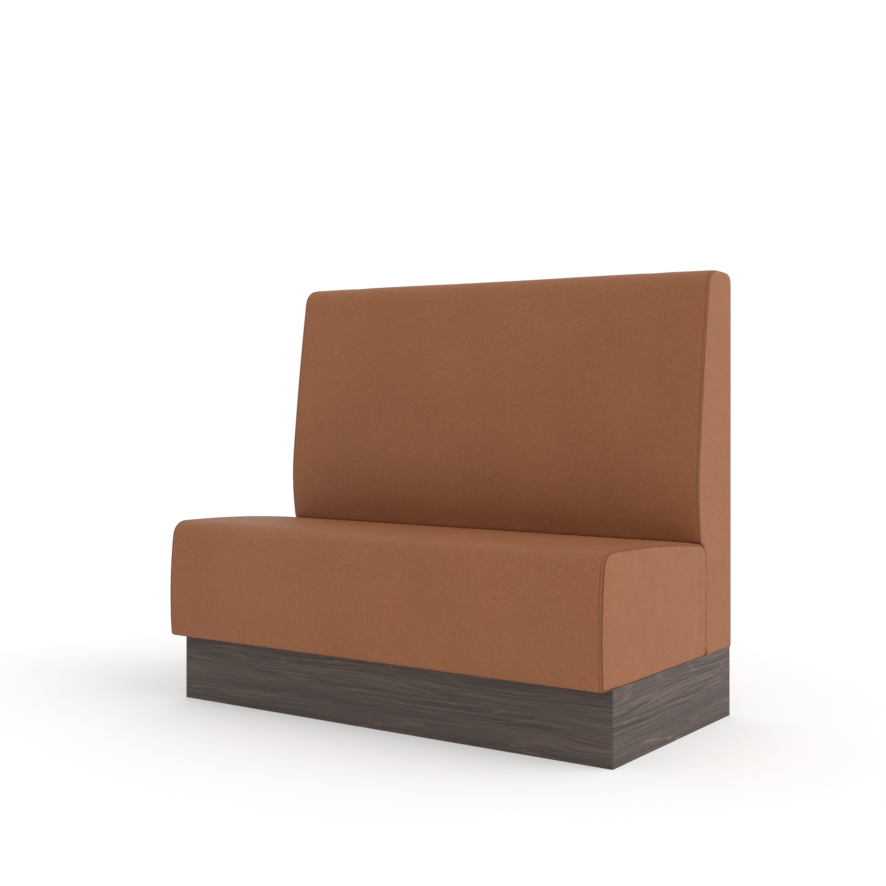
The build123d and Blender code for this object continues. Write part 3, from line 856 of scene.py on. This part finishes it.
def stitch(row, place):
    """Add an ellipsoid that place turns, sizes and moves. Its faces come in the same order in each run."""
    top, bottom = (row.verts.new(place @ Vector((0, 0, height))) for height in (1, -1))
    rings = []
    for ring in range(1, stitch_spans):
        lean = pi * ring / stitch_spans
        turned = [2 * pi * side / stitch_sides for side in range(stitch_sides)]
        rings.append([
            row.verts.new(place @ Vector((sin(lean) * sin(turn), sin(lean) * cos(turn), cos(lean))))
            for turn in turned
        ])
    for side in range(stitch_sides):
        row.faces.new((top, rings[0][side], rings[0][side - 1]))
        row.faces.new((bottom, rings[-1][side - 1], rings[-1][side]))
        for upper, lower in zip(rings, rings[1:]):
            row.faces.new((upper[side - 1], upper[side], lower[side], lower[side - 1]))


def topstitching(name, cover, sign):
    """Ellipsoid stitches, evenly spaced along the marked points of a cover."""
    marks = cover.data.attributes["stitched"].data
    marked = sorted(
        (abs(marks[vert.index].value), vert.index)
        for vert in cover.data.vertices if marks[vert.index].value * sign > 0
    )
    path = [cover.data.vertices[index] for _, index in marked]
    row = bmesh.new()
    travelled = 0.0
    due = stitch_pitch
    for first, second in zip(path, path[1:]):
        span = (second.co - first.co).length
        while due < travelled + span:
            share = (due - travelled) / span
            proud = first.normal.lerp(second.normal, share) * stitch_radius * stitch_proud_share
            centre = first.co.lerp(second.co, share) + proud
            along = (second.co - first.co).normalized()
            turn = along.to_track_quat("Z", "Y").to_matrix().to_4x4()
            size = Matrix.Diagonal((stitch_radius, stitch_radius, stitch_length / 2, 1))
            stitch(row, Matrix.Translation(centre) @ turn @ size)
            due += stitch_pitch
        travelled += span
    stitches = bpy.data.objects.new(name, bpy.data.meshes.new(name))
    row.to_mesh(stitches.data)
    row.free()
    for polygon in stitches.data.polygons:
        polygon.use_smooth = True
    scene.collection.objects.link(stitches)
    stitches.data.materials.append(thread.material)
    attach(stitches, "booth")


for cover, part in ((seat_cover, "seat"), (back_cover, "back")):
    topstitching(f"{part}_stitches_right", cover, 1)
    topstitching(f"{part}_stitches_left", cover, -1)


# Plinth boards
# Four boards faced with a dark walnut-grain laminate, mitred at the corners. The grain runs along
# each board: long wandering rings, thin pale streaks and fine dark pores, under a matt face.
walnut_black = (0.024, 0.018, 0.017)
walnut_dark = (0.054, 0.040, 0.035)
walnut_mid = (0.082, 0.060, 0.051)
walnut_pale = (0.186, 0.130, 0.096)
wander_height = 0.070
rings_in_figure = 19.0
front_figuring = 0.72
side_figuring = 1.45


def walnut(name, along_y, figuring):
    """Laminate with its grain along the board. figuring is how strongly the lines are printed."""
    paint = Paint(name, Specular_IOR_Level=0.35)
    board = paint.place(turn=(0, 0, pi / 2) if along_y else (0, 0, 0))
    along = paint.node("ShaderNodeSeparateXYZ", None, board, output=0)
    up = paint.node("ShaderNodeSeparateXYZ", None, board, output=2)

    def drawn_out(height, per_metre_along, per_metre_up, layer, detail=2.0, roughness=0.5):
        """Marks drawn out along the board, from one layer of a cloud."""
        marks = paint.node(
            "ShaderNodeCombineXYZ", None, along * per_metre_along, layer, height * per_metre_up
        )
        return paint.cloud(marks, scale=1.0, detail=detail, roughness=roughness)

    level = up + (drawn_out(up, 1.5, 6.0, 0.0) - 0.5) * wander_height
    broad = drawn_out(level, 1.0, 30.0, 0.0)
    streaks = drawn_out(level, 5.0, 300.0, 0.4, roughness=0.6)
    veins = drawn_out(level, 3.4, 330.0, 2.4, roughness=0.6)
    crowded = drawn_out(level, 1.2, 16.0, 3.2)
    figure = drawn_out(level, 0.7, 9.0, 1.6, detail=1.0)
    ring = paint.fraction(figure * rings_in_figure + streaks * 0.7)
    line = paint.ramp(ring, 0.74, 0.88) * (1.0 - paint.ramp(ring, 0.88, 0.96))
    broken = drawn_out(level, 5.0, 40.0, 4.8, detail=1.0)
    colour = paint.blend(paint.ramp(broad, 0.28, 0.68), walnut_dark, walnut_mid)
    colour = paint.blend(paint.ramp(streaks, 0.52, 0.60) * 0.26, colour, walnut_pale)
    colour = paint.blend(line * paint.ramp(broken, 0.40, 0.60) * (0.50 * figuring), colour, walnut_pale)
    busy = paint.ramp(crowded, 0.42, 0.60)
    dark_veins = paint.ramp(veins, 0.53, 0.57) * (busy * (0.50 * figuring) + 0.12)
    colour = paint.blend(dark_veins, colour, walnut_black)
    pale_veins = busy * (1.0 - paint.ramp(veins, 0.44, 0.50)) * (0.17 * figuring)
    colour = paint.blend(pale_veins, colour, walnut_pale)
    pores = drawn_out(level, 24.0, 620.0, 0.8, roughness=0.7)
    colour = paint.blend(paint.ramp(pores, 0.54, 0.66) * 0.40, colour, walnut_black)
    paint.feed(Base_Color=colour)
    paint.feed(Roughness=0.50 + streaks * 0.16)
    paint.feed(Normal=paint.relief(streaks - paint.ramp(pores, 0.54, 0.70), depth=0.00012))
    return paint.material


def dress(material, *names):
    """Give CAD nodes their finish."""
    for name in names:
        nodes[name].data.materials.clear()
        nodes[name].data.materials.append(material)


dress(walnut("walnut laminate along", False, front_figuring), "plinth_front_board", "plinth_back_board")
dress(walnut("walnut laminate across", True, side_figuring), "plinth_left_board", "plinth_right_board")


# Plywood frames
# Birch plywood, sanded and left raw: a rotary-cut face with flowing grain, and pale and brown plies
# in turn on the sawn edges. Which faces are edges depends on how each board stands.
birch = (0.58, 0.42, 0.25)
birch_pale = (0.68, 0.52, 0.33)
ply_brown = (0.33, 0.20, 0.11)
ply_thickness = 0.0014
edge_limit = 0.7
grain_along = 3.0
grain_across = 26.0
fine_grain = 14


def plywood(name, across):
    """Plywood whose plies are stacked along one axis: 0 for X, 1 for Y, 2 for Z."""
    paint = Paint(name, Roughness=0.65)
    stacked = paint.node("ShaderNodeSeparateXYZ", None, paint.place(), output=across)
    facing = paint.node("ShaderNodeNewGeometry", output="True Normal")
    lean = paint.node("ShaderNodeSeparateXYZ", None, facing, output=across)
    on_edge = paint.node("ShaderNodeMath", {"operation": "ABSOLUTE"}, lean) < edge_limit
    stretch = [grain_along] * 3
    stretch[(across + 1) % 3] = grain_across
    grain = paint.cloud(paint.place(stretch), scale=1.0, detail=4.0, roughness=0.55, distortion=0.8)
    fine = paint.cloud(paint.place([one * fine_grain for one in stretch]), scale=1.0, detail=2.0)
    face = paint.blend(paint.ramp(grain, 0.3, 0.7), birch, birch_pale)
    face = paint.blend(fine * 0.25, face, ply_brown)
    layer = paint.fraction(stacked / (2 * ply_thickness))
    plies = paint.blend((layer < 0.5) * 0.75, birch_pale, ply_brown)
    paint.feed(Base_Color=paint.blend(on_edge, face, plies))
    paint.feed(Normal=paint.relief(fine + grain * 0.5, depth=0.00015))
    return paint.material


dress(
    plywood("plywood upright", 0),
    "seat_end_left", "seat_end_right", "seat_rib_left", "seat_rib_right",
    "back_end_left", "back_end_right", "back_rib_left", "back_rib_right", "plinth_cross_rail",
)
dress(
    plywood("plywood on edge", 1),
    "seat_front_rail", "seat_back_rail", "back_lower_rail", "back_middle_rail",
)
dress(plywood("plywood flat", 2), "seat_deck", "back_bottom_rail", "back_top_rail")


# Corner blocks
# Four blocks of planed pine, yellow early wood between darker rings, with their grain upright. They are
# screwed into the corners of the plinth, and each holds the tee nut of a levelling foot.
pine_early = (0.66, 0.46, 0.23)
pine_late = (0.42, 0.23, 0.09)


def pine(name):
    """Planed pine whose rings run up and down."""
    paint = Paint(name, Roughness=0.6)
    rings = paint.cloud(
        paint.place((60.0, 60.0, 4.0)), scale=1.0, detail=3.0, roughness=0.5, distortion=0.6
    )
    late = paint.ramp(paint.fraction(rings * 6.0), 0.45, 1.0)
    paint.feed(Base_Color=paint.blend(late * 0.8, pine_early, pine_late))
    paint.feed(Normal=paint.relief(late, depth=0.0002))
    return paint.material


ends = [f"{end}_{hand}" for end in ("front", "back") for hand in ("left", "right")]
dress(pine("planed pine"), *[f"corner_block_{end}" for end in ends])


# Hardboard
# Thin boards of brown pressed fibre close the back frame in front and behind, under the foam and under
# the outside cover. Their faces are smooth and slightly burnished.
fibre_dark = (0.105, 0.052, 0.024)
fibre_pale = (0.230, 0.125, 0.062)
fibre_patch = (0.150, 0.080, 0.040)


def hardboard(name):
    """Pressed fibre with faint patches."""
    paint = Paint(name)
    fibre = paint.cloud(
        paint.place((240.0, 240.0, 240.0)), scale=1.0, detail=5.0, roughness=0.7, distortion=1.5
    )
    patches = paint.cloud(paint.place((12.0, 12.0, 12.0)), scale=1.0, detail=3.0)
    colour = paint.blend(fibre, fibre_dark, fibre_pale)
    paint.feed(Base_Color=paint.blend(patches * 0.4, colour, fibre_patch))
    paint.feed(Roughness=0.42 + fibre * 0.2, Normal=paint.relief(fibre, depth=0.0001))
    return paint.material


dress(hardboard("pressed hardboard"), "back_face_board", "outside_back_board")


# Foam
# Slabs of pale open-cell foam, cut to the section, give seat and back their round shape. Under the
# back's slab lies a lumbar pad of firm foam, bonded from coloured crumbs.
foam_pale = (0.80, 0.72, 0.42)
foam_deep = (0.62, 0.53, 0.27)
foam_aged = (0.74, 0.64, 0.34)
crumb_blue = (0.25, 0.33, 0.48)
crumb_grey = (0.60, 0.58, 0.55)
crumb_red = (0.55, 0.22, 0.20)
crumb_binder = (0.2, 0.2, 0.2)


def foam(name):
    """Open-cell foam, a little aged in places."""
    paint = Paint(name, Roughness=0.9)
    cells = paint.cells(paint.place(), scale=700.0)
    tint = paint.cloud(paint.place(), scale=7.0, detail=3.0)
    colour = paint.blend(paint.ramp(cells, 0.1, 0.7), foam_pale, foam_deep)
    paint.feed(Base_Color=paint.blend(tint * 0.4, colour, foam_aged))
    paint.feed(Normal=paint.relief(1.0 - cells, depth=0.0006))
    return paint.material


def bonded_foam(name):
    """Foam crumbs of several colours, pressed together with a binder."""
    paint = Paint(name, Roughness=0.9)
    crumbs = paint.cells(paint.place(), scale=110.0, output="Color")
    pick = paint.node("ShaderNodeSeparateColor", None, crumbs, output=0)
    colour = paint.blend(paint.ramp(pick, 0.2, 0.8), crumb_blue, crumb_grey)
    colour = paint.blend((pick > 0.86) * 0.8, colour, crumb_red)
    rough = paint.cloud(paint.place(), scale=420.0, detail=3.0)
    paint.feed(Base_Color=paint.blend(rough * 0.3, colour, crumb_binder))
    paint.feed(Normal=paint.relief(rough, depth=0.0008))
    return paint.material


dress(
    foam("open-cell foam"),
    "seat_foam", "seat_front_foam", "seat_end_pad_left", "seat_end_pad_right",
    "back_foam", "back_end_pad_left", "back_end_pad_right",
)
dress(bonded_foam("bonded crumb foam"), "lumbar_pad")


# Dust cover
# A black spun-bonded cloth is stapled under the frames to keep the dust out. Small dots are pressed
# into it, which hold its strands together.
strand_black = (0.010, 0.010, 0.011)
strand_grey = (0.034, 0.034, 0.036)
dot_black = (0.008, 0.008, 0.008)


def dust_cloth(name):
    """Spun-bonded cloth with its regular pattern of pressed dots."""
    paint = Paint(name, Roughness=0.85)
    grid = paint.cells(paint.place(), scale=480.0, randomness=0.15)
    strands = paint.cloud(
        paint.place((900.0, 300.0, 900.0)), scale=1.0, detail=3.0, roughness=0.7, distortion=2.0
    )
    dots = 1.0 - paint.ramp(grid, 0.15, 0.30)
    colour = paint.blend(strands, strand_black, strand_grey)
    paint.feed(Base_Color=paint.blend(dots * 0.5, colour, dot_black))
    paint.feed(Normal=paint.relief(strands * 0.6 - dots, depth=0.0002))
    return paint.material


dress(dust_cloth("spun-bonded cloth"), "dust_cover")


# Steel fittings
# Brackets and screws hold the frames on the plinth, bolts with washers and tee nuts join seat and back,
# and the levelling stems turn in tee nuts of their own. All of them are bright zinc-plated steel.
zinc_cool = (0.62, 0.64, 0.66)
zinc_warm = (0.78, 0.78, 0.75)


def zinc(name):
    """Bright zinc plating with a fine spangle."""
    paint = Paint(name, Metallic=1.0)
    spangle = paint.cells(paint.place(), scale=260.0, output="Color")
    shade = paint.node("ShaderNodeSeparateColor", None, spangle, output=0)
    haze = paint.cloud(paint.place(), scale=90.0, detail=4.0)
    paint.feed(Base_Color=paint.blend(shade * 0.5, zinc_cool, zinc_warm))
    paint.feed(Roughness=0.26 + haze * 0.2 + shade * 0.06)
    paint.feed(Normal=paint.relief(haze, depth=0.00004))
    return paint.material


dress(
    zinc("bright zinc"),
    "plinth_brackets", "bracket_screws", "corner_block_screws", "seat_frame_screws", "deck_screws",
    "back_frame_screws", "tee_nuts", "joining_bolts", "joining_washers",
    *[f"levelling_stem_{end}" for end in ends],
)


# Levelling pads
# Each stem stands on a round pad, moulded in black nylon. It keeps the fine spark-eroded texture of
# its mould.
nylon_black = (0.018, 0.018, 0.019)
nylon_grey = (0.034, 0.034, 0.035)


def nylon(name):
    """Moulded nylon with an eroded face."""
    paint = Paint(name)
    grit = paint.cloud(paint.place(), scale=1500.0, detail=2.0, roughness=0.6)
    paint.feed(Base_Color=paint.blend(grit, nylon_black, nylon_grey))
    paint.feed(Roughness=0.42 + grit * 0.2, Normal=paint.relief(grit, depth=0.00008))
    return paint.material


dress(nylon("black nylon"), *[f"levelling_pad_{end}" for end in ends])
